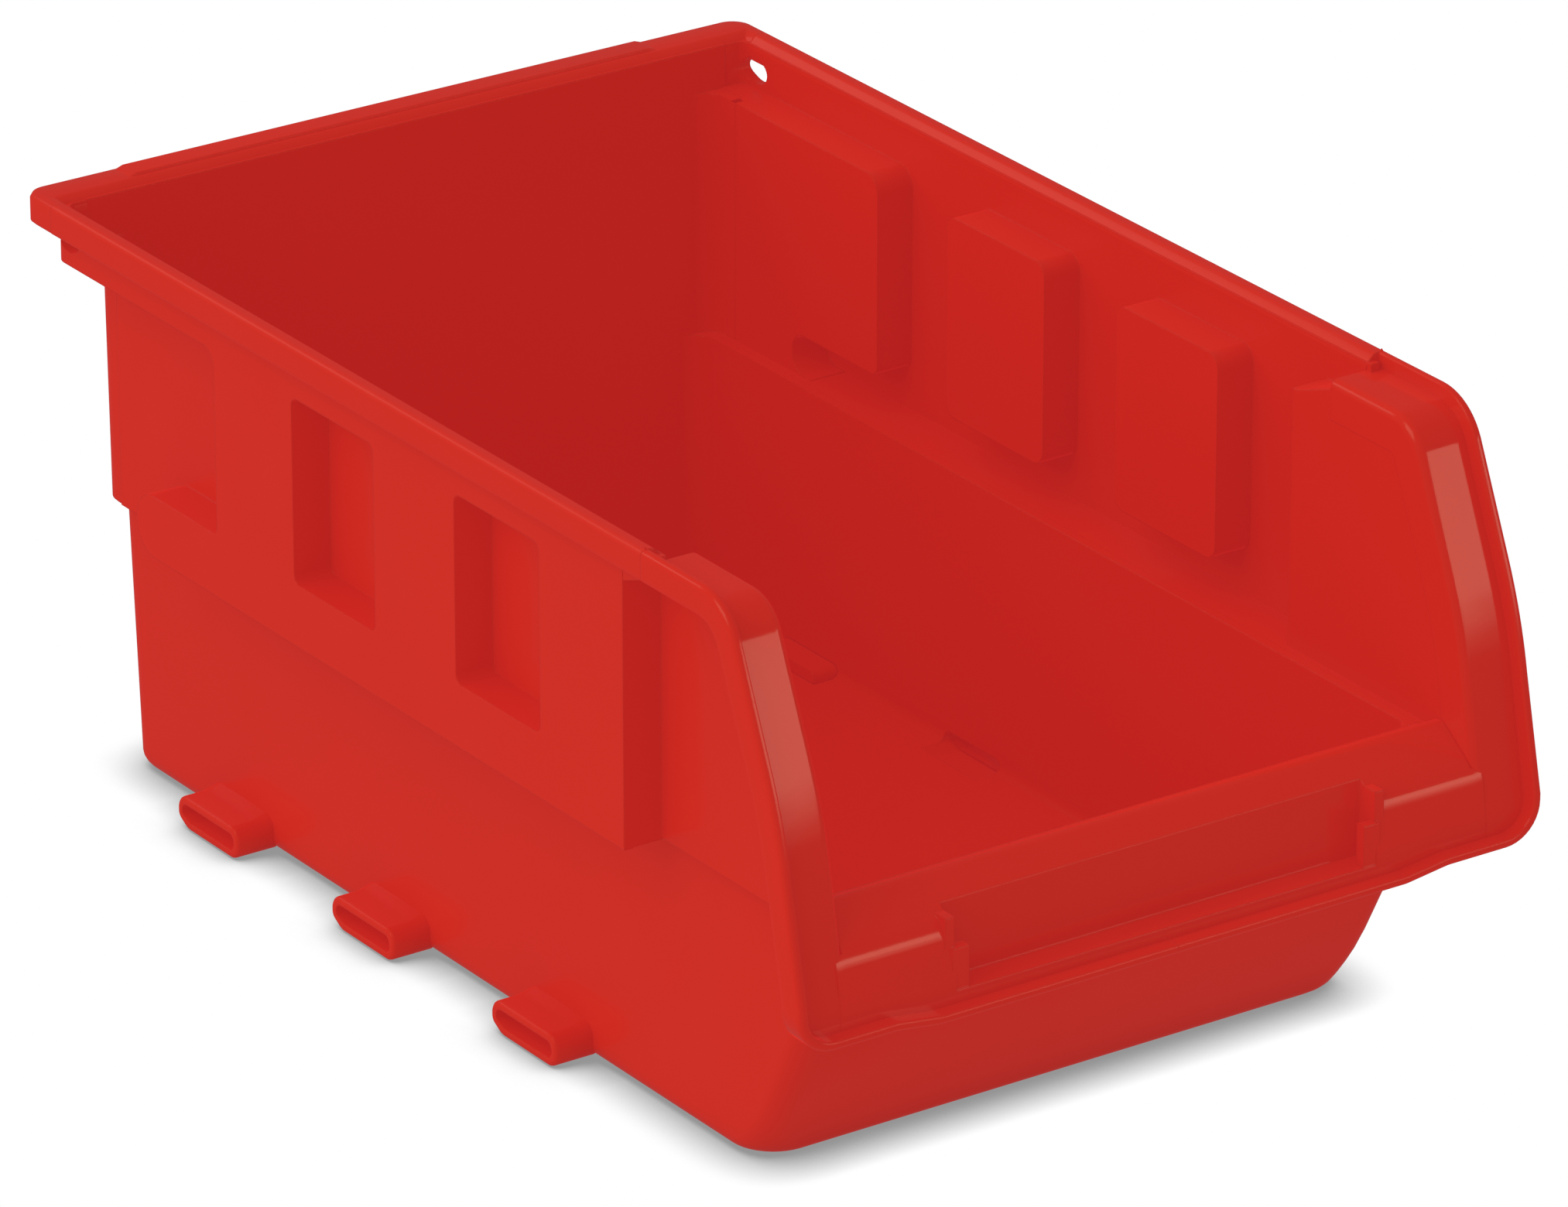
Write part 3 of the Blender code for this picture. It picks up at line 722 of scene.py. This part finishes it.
def cheek():
    """Front stretch at the recessed level, with the shelf and the upright that close it under the rim."""
    edge = offset_path(lip_profile(), 5.0)
    inner_edge = [p for p in edge if p.y > LEDGE + 0.5 and p.x < BAND_FRONT - 1]
    outline = [(BAND_FRONT + 0.3, LEDGE + 0.2), (BAND_FRONT + 0.3, SHELF_LOW), (BOW_START, SHELF_TOP)]
    outline += [tuple(p) for p in inner_edge if p.x < BOW_START - 0.5]
    outline.append((inner_edge[-1].x - 1.0, LEDGE + 0.2))
    obj = plate("cheek", outline, "x", INNER_FACE - WALL, INNER_FACE)
    rear = BAND_FRONT + 0.3
    start = BOW_START - 3.0
    shelf = [(start, SHELF_TOP), (BOW_START, SHELF_TOP), (rear, SHELF_LOW), (rear, SHELF_LOW - SHELF),
             (BOW_START, SHELF_TOP - SHELF), (start, SHELF_TOP - SHELF)]
    add(obj, plate("shelf", shelf, "x", INNER_FACE - 0.4, OUTER_FACE - 0.1))
    foot = SHELF - 2 * SKIN
    upright = [(BOW_START - 1.0, WALL_TOP), (rear, WALL_TOP), (rear, SHELF_LOW - foot),
               (BOW_START, SHELF_TOP - foot), (BOW_START - 1.0, SHELF_TOP - foot)]
    add(obj, plate("upright", upright, "x", OUTER_FACE - WALL, OUTER_FACE - 0.05))
    return obj


print("hang hole:", 2 * HOLE_RADIUS * HOLE_STRETCH, "x", 2 * HOLE_RADIUS, "mm")

# %% [markdown]
# The side wall is put together from its plates, and then recess, pockets and hang hole are cut. The band's
# upright front edge is the only one that looks clearly round, so it gets a real bevel. The pieces that stand
# for the upper wall and the cheek are one, as the moulding has no seam there.

# %% Side walls
CORNER_POST = ((41.5, 43.1), (-72.3, -71.1))  # closes the corner between panel, tub and cheek
CORNER_POST_TOP = 38.2
BAND_EDGE = 1.0                               # radius of the band's upright front edge


def round_band_edges(obj, radius):
    """Rounds the band's upright front edge."""
    shape = bmesh.new()
    shape.from_mesh(obj.data)
    face = (OUTER_FACE - 0.01) * MM

    def on_edge(vertex):
        place_y, place_z = vertex.co.y / MM, vertex.co.z / MM
        return vertex.co.x > face and BAND_FRONT - 0.1 < place_y < BAND_FRONT + 0.2 and place_z < SHELF_TOP

    chosen = [e for e in shape.edges if on_edge(e.verts[0]) and on_edge(e.verts[1])]
    bmesh.ops.bevel(shape, geom=chosen, offset=radius * MM, segments=4, profile=0.5, affect="EDGES")
    shape.to_mesh(obj.data)
    shape.free()


def side_wall():
    """Band, recess and pocket backs, cheek and head in one piece, on the right."""
    top = WALL_TOP
    obj = plate("side_wall_right", band_outline(top), "x", OUTER_FACE - WALL, OUTER_FACE)
    add(obj, recess_back())
    for rear_edge in POCKET_REAR_EDGES:
        around = pocket_outline(rear_edge, WALL)
        add(obj, plate("back", around, "x", INNER_FACE - WALL, OUTER_FACE - WALL + 0.2))
    add(obj, block("front_return", (INNER_FACE - WALL, OUTER_FACE - 0.2), (BAND_FRONT, BAND_FRONT + WALL),
                   (LEDGE + 0.1, SHELF_LOW)))
    add(obj, block("front_corner", *CORNER_POST, (LEDGE + 0.15, CORNER_POST_TOP)))
    add(obj, cheek())
    add(obj, wall_head(top))
    cut(obj, plate("recess", recess_outline(), "x", INNER_FACE, OUTER_FACE + FAR))
    for rear_edge in POCKET_REAR_EDGES:
        cut(obj, plate("pocket", pocket_outline(rear_edge, 0.0), "x", INNER_FACE, OUTER_FACE + FAR))
    cut(obj, hang_hole())
    round_band_edges(obj, BAND_EDGE)
    return obj


place_pair(side_wall(), "side_wall", BODY, "wall_upper", "cheek")

# %% [markdown]
# The front is framed by long curved flanges with a lip that stands out along their outer edge. A flange is
# a thin L-shaped section swept along the side view of the lip. Its lower outer corner is cut round by keeping
# only what lies inside a rounded plate.

# %% Flanges
def along_profile(section):
    """Sweeps a closed (x, depth) section along the lip's side view; depth runs inward."""
    path = lip_profile()
    rows = []
    for point, normal in zip(path, path_normals(path)):
        rows.append([(x, *(point - normal * depth)) for x, depth in section])
    return rows


def flange():
    """Flange face with its round inner edge, swept along the profile."""
    back = LIP_RAISE + WALL
    lip_inner = HALF_WIDTH - LIP_WIDTH
    deep = 7.0  # how far the section runs back along the cheek
    under_lip = lip_inner + 0.5
    section = rounded([(INNER_FACE - WALL - SKIN, deep), (BOW_INNER, LIP_RAISE, 1.2), (under_lip, LIP_RAISE),
                       (under_lip, back), (INNER_FACE, back, 1.0), (INNER_FACE, deep)])
    obj = skin("flange_right", along_profile([tuple(p) for p in section]))
    keep = rounded([(BOW_INNER - 1, LIP_BOTTOM + 1.4), (HALF_WIDTH - 0.4, LIP_BOTTOM + 1.4, 4.6),
                    (HALF_WIDTH - 0.4, TOP + 2), (BOW_INNER - 1, TOP + 2)])
    return combine(obj, plate("keep", keep, "y", FRONT - FAR, FAR), "INTERSECT")


place_pair(flange(), "flange", POLISHED, "bow")

# %% [markdown]
# The lip runs from the rim's end over the shoulder, down the front, round the lower corner and along the
# lower edge. A curve with a profile would twist at the corner. Here one small section is carried along both
# paths, so that its edges stay parallel all the way.

# %% Lip
LIP_TURN = 31.0    # height where the sweep changes from the side view to the front view
STEP_RISE = 0.8    # the lower edge is a little higher outside than in the middle
STEP_OUTER = 39.0
STEP_INNER = 33.0
STEP_RADIUS = 6.0


def lip_corner_path():
    """Front view of the lip's lower run, from the right flange to the middle: (x, z) points."""
    raised = LIP_BOTTOM + STEP_RISE
    return rounded([(HALF_WIDTH, LIP_TURN), (HALF_WIDTH, raised, 5.0), (STEP_OUTER, raised, STEP_RADIUS),
                    (STEP_INNER, LIP_BOTTOM, STEP_RADIUS), (0.0, LIP_BOTTOM)], closed=False)


def front_lip():
    """Half of the lip in one sweep: rim end, shoulder, falling edge, lower corner, lower edge."""
    section = [tuple(p) for p in rounded([(0, 0, 0.7), (LIP_WIDTH, 0, 0.3), (LIP_WIDTH, LIP_DEPTH, 0.4),
                                          (0, LIP_DEPTH, 0.4)])]
    rows = []
    side = [p for p in lip_profile() if p.y > LIP_TURN + 0.5]
    for point, normal in zip(side, path_normals(side)):
        outward = Vector((0, normal.x, normal.y))
        corner = Vector((HALF_WIDTH, point.x, point.y))
        rows.append([corner - Vector((a, 0, 0)) - outward * b for a, b in section])
    lower = lip_corner_path()
    for point, normal in zip(lower, path_normals(lower)):
        corner = Vector((point.x, FRONT, point.y))
        inward = Vector((normal.x, 0, normal.y))
        rows.append([corner + inward * a + Vector((0, b, 0)) for a, b in section])
    return skin("front_lip_right", rows)


place_pair(front_lip(), "front_lip", POLISHED)

# %% [markdown]
# The label panel closes the front between the flanges: inner wall, sloping shoulder, and a face with a framed
# recess where a label card slides in. One side view, given depth across the bin, makes wall and shoulder. The
# recess is a tray added behind the face and then cut open from the front.

# %% Label panel
PANEL_HALF = reach("label_panel", HIGH, X) + 0.28
PANEL_CREST = (-72.2, 40.6, 1.7)
PANEL_SHOULDER = (-80.2, 35.0, 5.0)
LABEL_HALF_WIDTH = 29.7
FACE_HALF = BOW_INNER + 1.3  # the face runs on over the flanges' round inner edge
LABEL_BOTTOM = 27.2
LABEL_BACK = -77.6
TRAY_TOP = 36.2
TRAY_FRONT = -80.6
RIB_INNER = 27.9
RIB_TOP = 32.4
RIB_DEPTH = (-81.0, -79.6)


def label_panel():
    """Wall, shoulder and face, with the label recess and the small rib at each of its ends."""
    face_line = [tuple(p) for p in offset_path(lip_profile(), LIP_RAISE - 0.02) if p.y < 32.0]
    path = rounded([(PANEL_REAR, LIP_BOTTOM + 0.2), PANEL_CREST, PANEL_SHOULDER, *face_line], closed=False)
    obj = plate("label_panel_visual", ribbon(path, WALL), "x", -PANEL_HALF, PANEL_HALF)
    face = [p for p in path if p.x < -79.0 and p.y < 35.2]
    add(obj, plate("face", ribbon(face, WALL - 0.1), "x", -FACE_HALF, FACE_HALF))
    tray_half = LABEL_HALF_WIDTH + WALL
    tray_depth = (TRAY_FRONT, LABEL_BACK + WALL)
    add(obj, block("tray", (-tray_half, tray_half), tray_depth, (LABEL_BOTTOM - WALL, TRAY_TOP)))
    label = (-LABEL_HALF_WIDTH, LABEL_HALF_WIDTH)
    cut(obj, block("recess", label, (FRONT - FAR, LABEL_BACK), (LABEL_BOTTOM, TOP)))
    for side in (-1, 1):
        ends = sorted((side * RIB_INNER, side * (LABEL_HALF_WIDTH + 0.5)))
        add(obj, block("rib", ends, RIB_DEPTH, (LABEL_BOTTOM - 0.5, RIB_TOP)))
    return obj


place(label_panel(), POLISHED, "label_panel")

# %% [markdown]
# The rim stiffens the bin: a narrow flat top with a turned-down lip. Along the sides one section is enough.
# Over the rear wall it turns two corners and gets wider, so rings of points are laid from its lower edge
# over the top and down inside.

# %% Rim
RIM_JOIN = BASE_REAR - WALL + math.tan(DRAFT) * TOP - 1.0


def side_rim():
    """Section of the rim, from its inner edge over the top to the turned-down lip."""
    lip = HALF_WIDTH - LIP_WIDTH
    low = RIM_LOW
    inner = RIM_INNER - 0.06
    section = rounded([(RIM_INNER + SKIN, TOP - 3.0), (inner, TOP - 1.2, 0.8), (RIM_INNER + 1.1, TOP, 0.8),
                       (HALF_WIDTH, TOP, 0.7), (HALF_WIDTH, low, 0.4), (lip, low, 0.4),
                       (lip, TOP - WALL, 0.5), (OUTER_FACE + 0.06, TOP - WALL),
                       (OUTER_FACE + 0.06, TOP - 3.0)])
    rows = [[(p.x, y, p.y) for p in section] for y in (BOW_START - 0.1, RIM_JOIN)]
    return skin("side_rim_right", rows)


def rear_rim():
    """Outer face turned round both rear corners, with the flat top and the inner edge."""
    inner = BASE_REAR - WALL + math.tan(DRAFT) * TOP
    outline = rounded([(HALF_WIDTH, RIM_JOIN), (HALF_WIDTH, REAR, 2.6), (-HALF_WIDTH, REAR, 2.6),
                       (-HALF_WIDTH, RIM_JOIN)], closed=False)
    middle = HALF_WIDTH - 0.6
    levels = [(RIM_LOW, LIP_WIDTH), (RIM_LOW, 0.3), (RIM_LOW + 0.3, 0.0), (TOP - 0.7, 0.0), (TOP - 0.2, 0.2),
              (TOP, 0.7)]
    rows = []
    for height, inset in levels:
        narrower = 1 - inset / middle
        rows.append([(p.x * narrower, p.y - inset * (p.y > RIM_JOIN + 0.1), height) for p in outline])
    top = rows[-1]
    for widen, drop in ((1.4, 0.0), (1.0, 0.1), (0.1, 1.0), (-0.06, 1.4), (0.0, 3.0)):
        edge = RIM_INNER + widen
        rear = inner + widen
        rows.append([(math.copysign(min(abs(x), edge), x), min(y, rear), TOP - drop) for x, y, _ in top])
    return skin("rear_rim", rows, closed_rows=False, capped=False)


place_pair(side_rim(), "side_rim", RIM, "rim")
place(rear_rim(), RIM, "rim_rear")

# %% [markdown]
# Two small details sit on the rim: a low raised stretch along the middle of the rear, and a pointed nub at
# each shoulder where the plastic was let in. Both are too fine for the frame and need no nodes of their own.

# %% Raised stretch and nubs
RAISED_LEFT, RAISED_RIGHT = -39.8, 37.5
NUB_HEIGHT = 0.9
NUB_STEPS = ((0.0, 0.55), (0.35, 0.42), (0.7, 0.22), (1.0, 0.06))  # share of height, radius


def raised_middle():
    """Low raised stretch along the middle of the rear rim, with soft ends."""
    rise = cad_high.z / MM - TOP
    section = rounded([(REAR - 4.0, TOP - 0.4), (REAR - 4.0, TOP + rise, 0.2), (REAR - 0.5, TOP + rise, 0.3),
                       (REAR - 0.5, TOP - 0.4)])
    ends = [(RAISED_LEFT, 0.4), (RAISED_LEFT + 1.2, 0.0), (RAISED_RIGHT - 1.2, 0.0), (RAISED_RIGHT, 0.4)]
    rows = [[(x, p.x, p.y - drop) for p in section] for x, drop in ends]
    return skin("rear_rim_middle", rows)


def gate_pip(name, x, y, height):
    """Small pointed nub that the mould leaves on the rim."""
    base = TOP - 0.6
    rows = []
    for share, radius in NUB_STEPS:
        turns = [2 * math.pi * k / 10 for k in range(10)]
        level = base + share * height
        rows.append([(x + radius * math.cos(t), y + 0.8 * radius * math.sin(t), level) for t in turns])
    return skin(name, rows)


place(raised_middle(), RIM)
place_pair(gate_pip("gate_pip_right", HALF_WIDTH - 0.7, BOW_START, NUB_HEIGHT), "gate_pip", RIM)

# %% [markdown]
# The bin stands on plain white. A lit white floor would turn grey and pick up red, so this floor glows by
# itself, and an ambient occlusion node darkens it only close to the bin, as the thin contact shadow.

# %% White floor
FLOOR_HALF = 3000
CONTACT_REACH = 7.0
FLOOR_BOUNCE = 0.78        # the floor lights the bin a little less than it shines to the camera


def white_floor():
    """Glowing floor; the shading near the bin is multiplied with what camera and bin get from it."""
    rows = [[(-FLOOR_HALF, y, 0), (FLOOR_HALF, y, 0)] for y in (-FLOOR_HALF, FLOOR_HALF)]
    obj = skin("floor", rows, closed_rows=False, capped=False)
    material = bpy.data.materials.new("white_floor")
    material.use_nodes = True
    shader = material.node_tree.nodes["Principled BSDF"]
    shader.inputs["Base Color"].default_value = (0.0, 0.0, 0.0, 1.0)
    shader.inputs["Roughness"].default_value = 1.0
    shader.inputs["Specular IOR Level"].default_value = 0.0
    nodes = material.node_tree.nodes
    links = material.node_tree.links
    contact = nodes.new("ShaderNodeAmbientOcclusion")
    contact.samples = 16
    contact.inputs["Distance"].default_value = CONTACT_REACH * MM
    shade = nodes.new("ShaderNodeMapRange")
    shade.inputs["From Min"].default_value = 0.3
    shade.inputs["From Max"].default_value = 0.96
    shade.inputs["To Min"].default_value = 0.3
    shade.inputs["To Max"].default_value = 1.0
    links.new(contact.outputs["AO"], shade.inputs["Value"])
    bounce = nodes.new("ShaderNodeMapRange")
    bounce.inputs["To Min"].default_value = FLOOR_BOUNCE
    links.new(nodes.new("ShaderNodeLightPath").outputs["Is Camera Ray"], bounce.inputs["Value"])
    strength = nodes.new("ShaderNodeMath")
    strength.operation = "MULTIPLY"
    links.new(shade.outputs["Result"], strength.inputs[0])
    links.new(bounce.outputs["Result"], strength.inputs[1])
    links.new(strength.outputs["Value"], shader.inputs["Emission Strength"])
    shader.inputs["Emission Color"].default_value = (1.0, 1.0, 1.0, 1.0)
    obj.data.materials.append(material)
    obj.visible_glossy = False


white_floor()
print("floor is", 2 * FLOOR_HALF * MM, "m wide")

# %% [markdown]
# White light comes from all round, a bit stronger from behind on the right. Reflections see a much darker
# room, because the bin's broad walls would otherwise look milky.

# %% White room
ROOM_IN_REFLECTIONS = 0.08
ROOM_TILT = (-0.36, 0.5, 0.0)
ROOM_LEVEL = 0.93


def white_room():
    """World light: full white to the camera, dark in reflections, tilted level for everything else."""
    world = bpy.data.worlds.new("white_room")
    bpy.context.scene.world = world
    world.use_nodes = True
    nodes = world.node_tree.nodes
    links = world.node_tree.links
    background = nodes["Background"]
    rays = nodes.new("ShaderNodeLightPath")
    dim = nodes.new("ShaderNodeMapRange")
    dim.inputs["To Max"].default_value = ROOM_IN_REFLECTIONS
    links.new(rays.outputs["Is Glossy Ray"], dim.inputs["Value"])
    direction = nodes.new("ShaderNodeTexCoord").outputs["Generated"]
    side_light = nodes.new("ShaderNodeVectorMath")
    side_light.operation = "DOT_PRODUCT"
    side_light.inputs[1].default_value = ROOM_TILT
    links.new(direction, side_light.inputs[0])
    level = nodes.new("ShaderNodeMath")
    level.operation = "ADD"
    level.inputs[1].default_value = ROOM_LEVEL
    links.new(side_light.outputs["Value"], level.inputs[0])
    links.new(level.outputs["Value"], dim.inputs["To Min"])
    seen = nodes.new("ShaderNodeMath")
    seen.operation = "MAXIMUM"
    links.new(rays.outputs["Is Camera Ray"], seen.inputs[0])
    links.new(dim.outputs["Result"], seen.inputs[1])
    background.inputs["Color"].default_value = (1, 1, 1, 1)
    links.new(seen.outputs["Value"], background.inputs["Strength"])


white_room()
print("room level:", ROOM_LEVEL)

# %% [markdown]
# Two bright cards give the long soft highlights on the flanges and rims, and one large lamp on the left adds
# gentle shading. A lamp would light the walls as well as shine in them. A card that is seen only in
# reflections can be placed for its highlight alone.

# %% Cards and key light
def area_light(name, place_at, aim, size, power):
    """Rectangular lamp that is turned toward a point."""
    light = bpy.data.lights.new(name, "AREA")
    light.shape = "RECTANGLE"
    light.size = size[0]
    light.size_y = size[1]
    light.energy = power
    obj = make_object(name, light)
    obj.location = place_at
    obj.rotation_euler = (Vector(aim) - Vector(place_at)).to_track_quat("-Z", "Y").to_euler()
    return obj


def reflector_card(name, direction, away, size, strength):
    """Bright card that is seen only in reflections; it fades toward its lower edge."""
    toward = Vector(direction).normalized()
    across = Vector((-toward.y, toward.x, 0.0)).normalized()
    upward = toward.cross(across).normalized()
    if upward.z < 0:
        upward = -upward
    rows = [[(toward * away + across * side * size[0] / 2 + upward * level * size[1] / 2) / MM
             for side in (-1, 1)] for level in (-1, 1)]
    obj = skin(name, rows, closed_rows=False, capped=False)
    material = bpy.data.materials.new(name)
    material.use_nodes = True
    nodes = material.node_tree.nodes
    links = material.node_tree.links
    shader = nodes["Principled BSDF"]
    shader.inputs["Base Color"].default_value = (0.0, 0.0, 0.0, 1.0)
    shader.inputs["Emission Color"].default_value = (1.0, 1.0, 1.0, 1.0)
    coords = nodes.new("ShaderNodeTexCoord").outputs["Generated"]
    height = nodes.new("ShaderNodeSeparateXYZ")
    links.new(coords, height.inputs["Vector"])
    clouds = value_noise(nodes, links, coords, 5.0, 4.0)
    uneven = nodes.new("ShaderNodeMath")
    uneven.operation = "MULTIPLY_ADD"
    uneven.inputs[1].default_value = 0.7
    links.new(clouds, uneven.inputs[0])
    links.new(height.outputs["Z"], uneven.inputs[2])
    fade = remap(nodes, links, uneven.outputs["Value"], 0.15 * strength, strength, 0.4, 0.95)
    links.new(fade, shader.inputs["Emission Strength"])
    obj.data.materials.append(material)
    obj.visible_camera = False
    obj.visible_diffuse = False
    obj.visible_shadow = False


middle_point = (0.0, 0.0, TOP * MM / 2)
reflector_card("card_front", direction=(0.527, -0.82, 0.208), away=1.25, size=(0.75, 0.44), strength=2.7)
reflector_card("card_back", direction=(-0.38, 0.755, 0.5), away=1.4, size=(0.7, 0.35), strength=1.3)
area_light("key_left", (-0.9, -0.1, 0.9), middle_point, (0.7, 0.7), 2.5)
print("cards: 2, lamps: 1")

# %% [markdown]
# The camera stands to the front left, a little above the rim. It is far away with a long lens, so the bin's
# long edges come together only slightly. A near camera would make the front look too large.

# %% Camera
AZIMUTH = math.radians(-34.52)
ELEVATION = math.radians(23.59)
DISTANCE = 1.338
AIM = Vector((0.0049, 0.0036, 0.0358))
LENS = 256.4
SENSOR = 36.0


def studio_camera():
    """Long-lens camera on a circle round the aim point."""
    data = bpy.data.cameras.new("studio_camera")
    data.sensor_width = SENSOR
    data.lens = LENS
    data.clip_end = 20.0
    obj = make_object("studio_camera", data)
    back = Vector((math.sin(AZIMUTH) * math.cos(ELEVATION), -math.cos(AZIMUTH) * math.cos(ELEVATION),
                   math.sin(ELEVATION)))
    obj.location = AIM + back * DISTANCE
    obj.rotation_euler = (-back).to_track_quat("-Z", "Y").to_euler()
    bpy.context.scene.camera = obj


studio_camera()
bpy.context.scene.view_settings.view_transform = "Standard"
print("camera is", DISTANCE, "m away with a", LENS, "mm lens")
